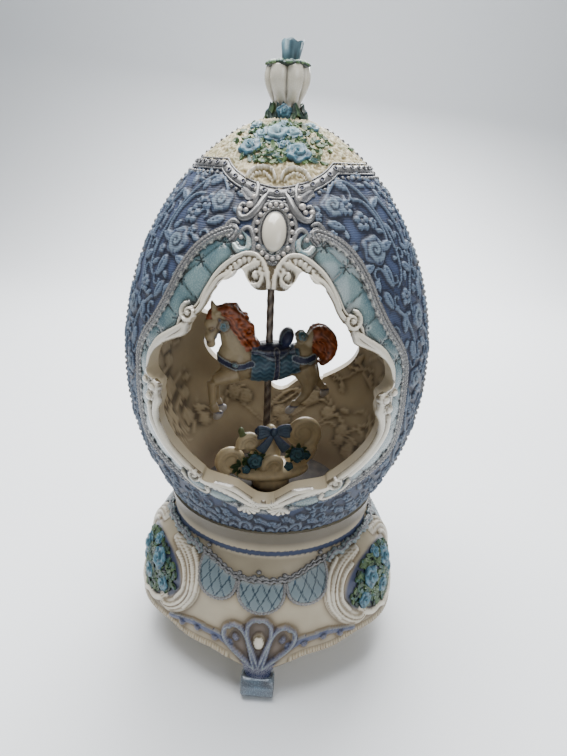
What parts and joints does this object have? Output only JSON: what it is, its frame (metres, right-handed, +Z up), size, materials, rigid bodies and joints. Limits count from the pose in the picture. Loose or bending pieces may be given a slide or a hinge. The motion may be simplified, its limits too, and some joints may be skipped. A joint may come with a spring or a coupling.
{
  "type": "jewelled egg ornament",
  "caption": "Painted decorative egg with an open window, a small carousel horse inside on a pole, a leafy finial on top and its own footed stand.",
  "frame": {"origin": "on the table under the egg's axis, at the middle of the three feet", "axes": "+Z up along the egg's axis to the finial; the window with the set pearl faces -Y; the horse's head is towards -X"},
  "size_m": [0.0962, 0.0946, 0.1898],
  "materials": {
    "cream_resin": "cast resin, hand painted cream with blue and silver trim",
    "blue_painted_resin": "cast resin, hand painted periwinkle blue, dry brushed",
    "imitation_pearl": "pearl lustre over a moulded cabochon",
    "pearl_white_resin": "cast resin with a pearl white coat",
    "dark_bronze_rod": "twisted rod, darkened bronze colour",
    "cream_plinth_resin": "cast resin, hand painted cream",
    "ivory_resin": "cast resin, hand painted ivory with coloured tack"
  },
  "bodies": {
    "root": {"stand": "cream_resin", "egg_shell": "blue_painted_resin", "pearl_cabochon": "imitation_pearl", "finial": "pearl_white_resin", "pole": "dark_bronze_rod", "scroll_plinth": "cream_plinth_resin", "carousel_horse": "ivory_resin"}
  },
  "joints": []
}
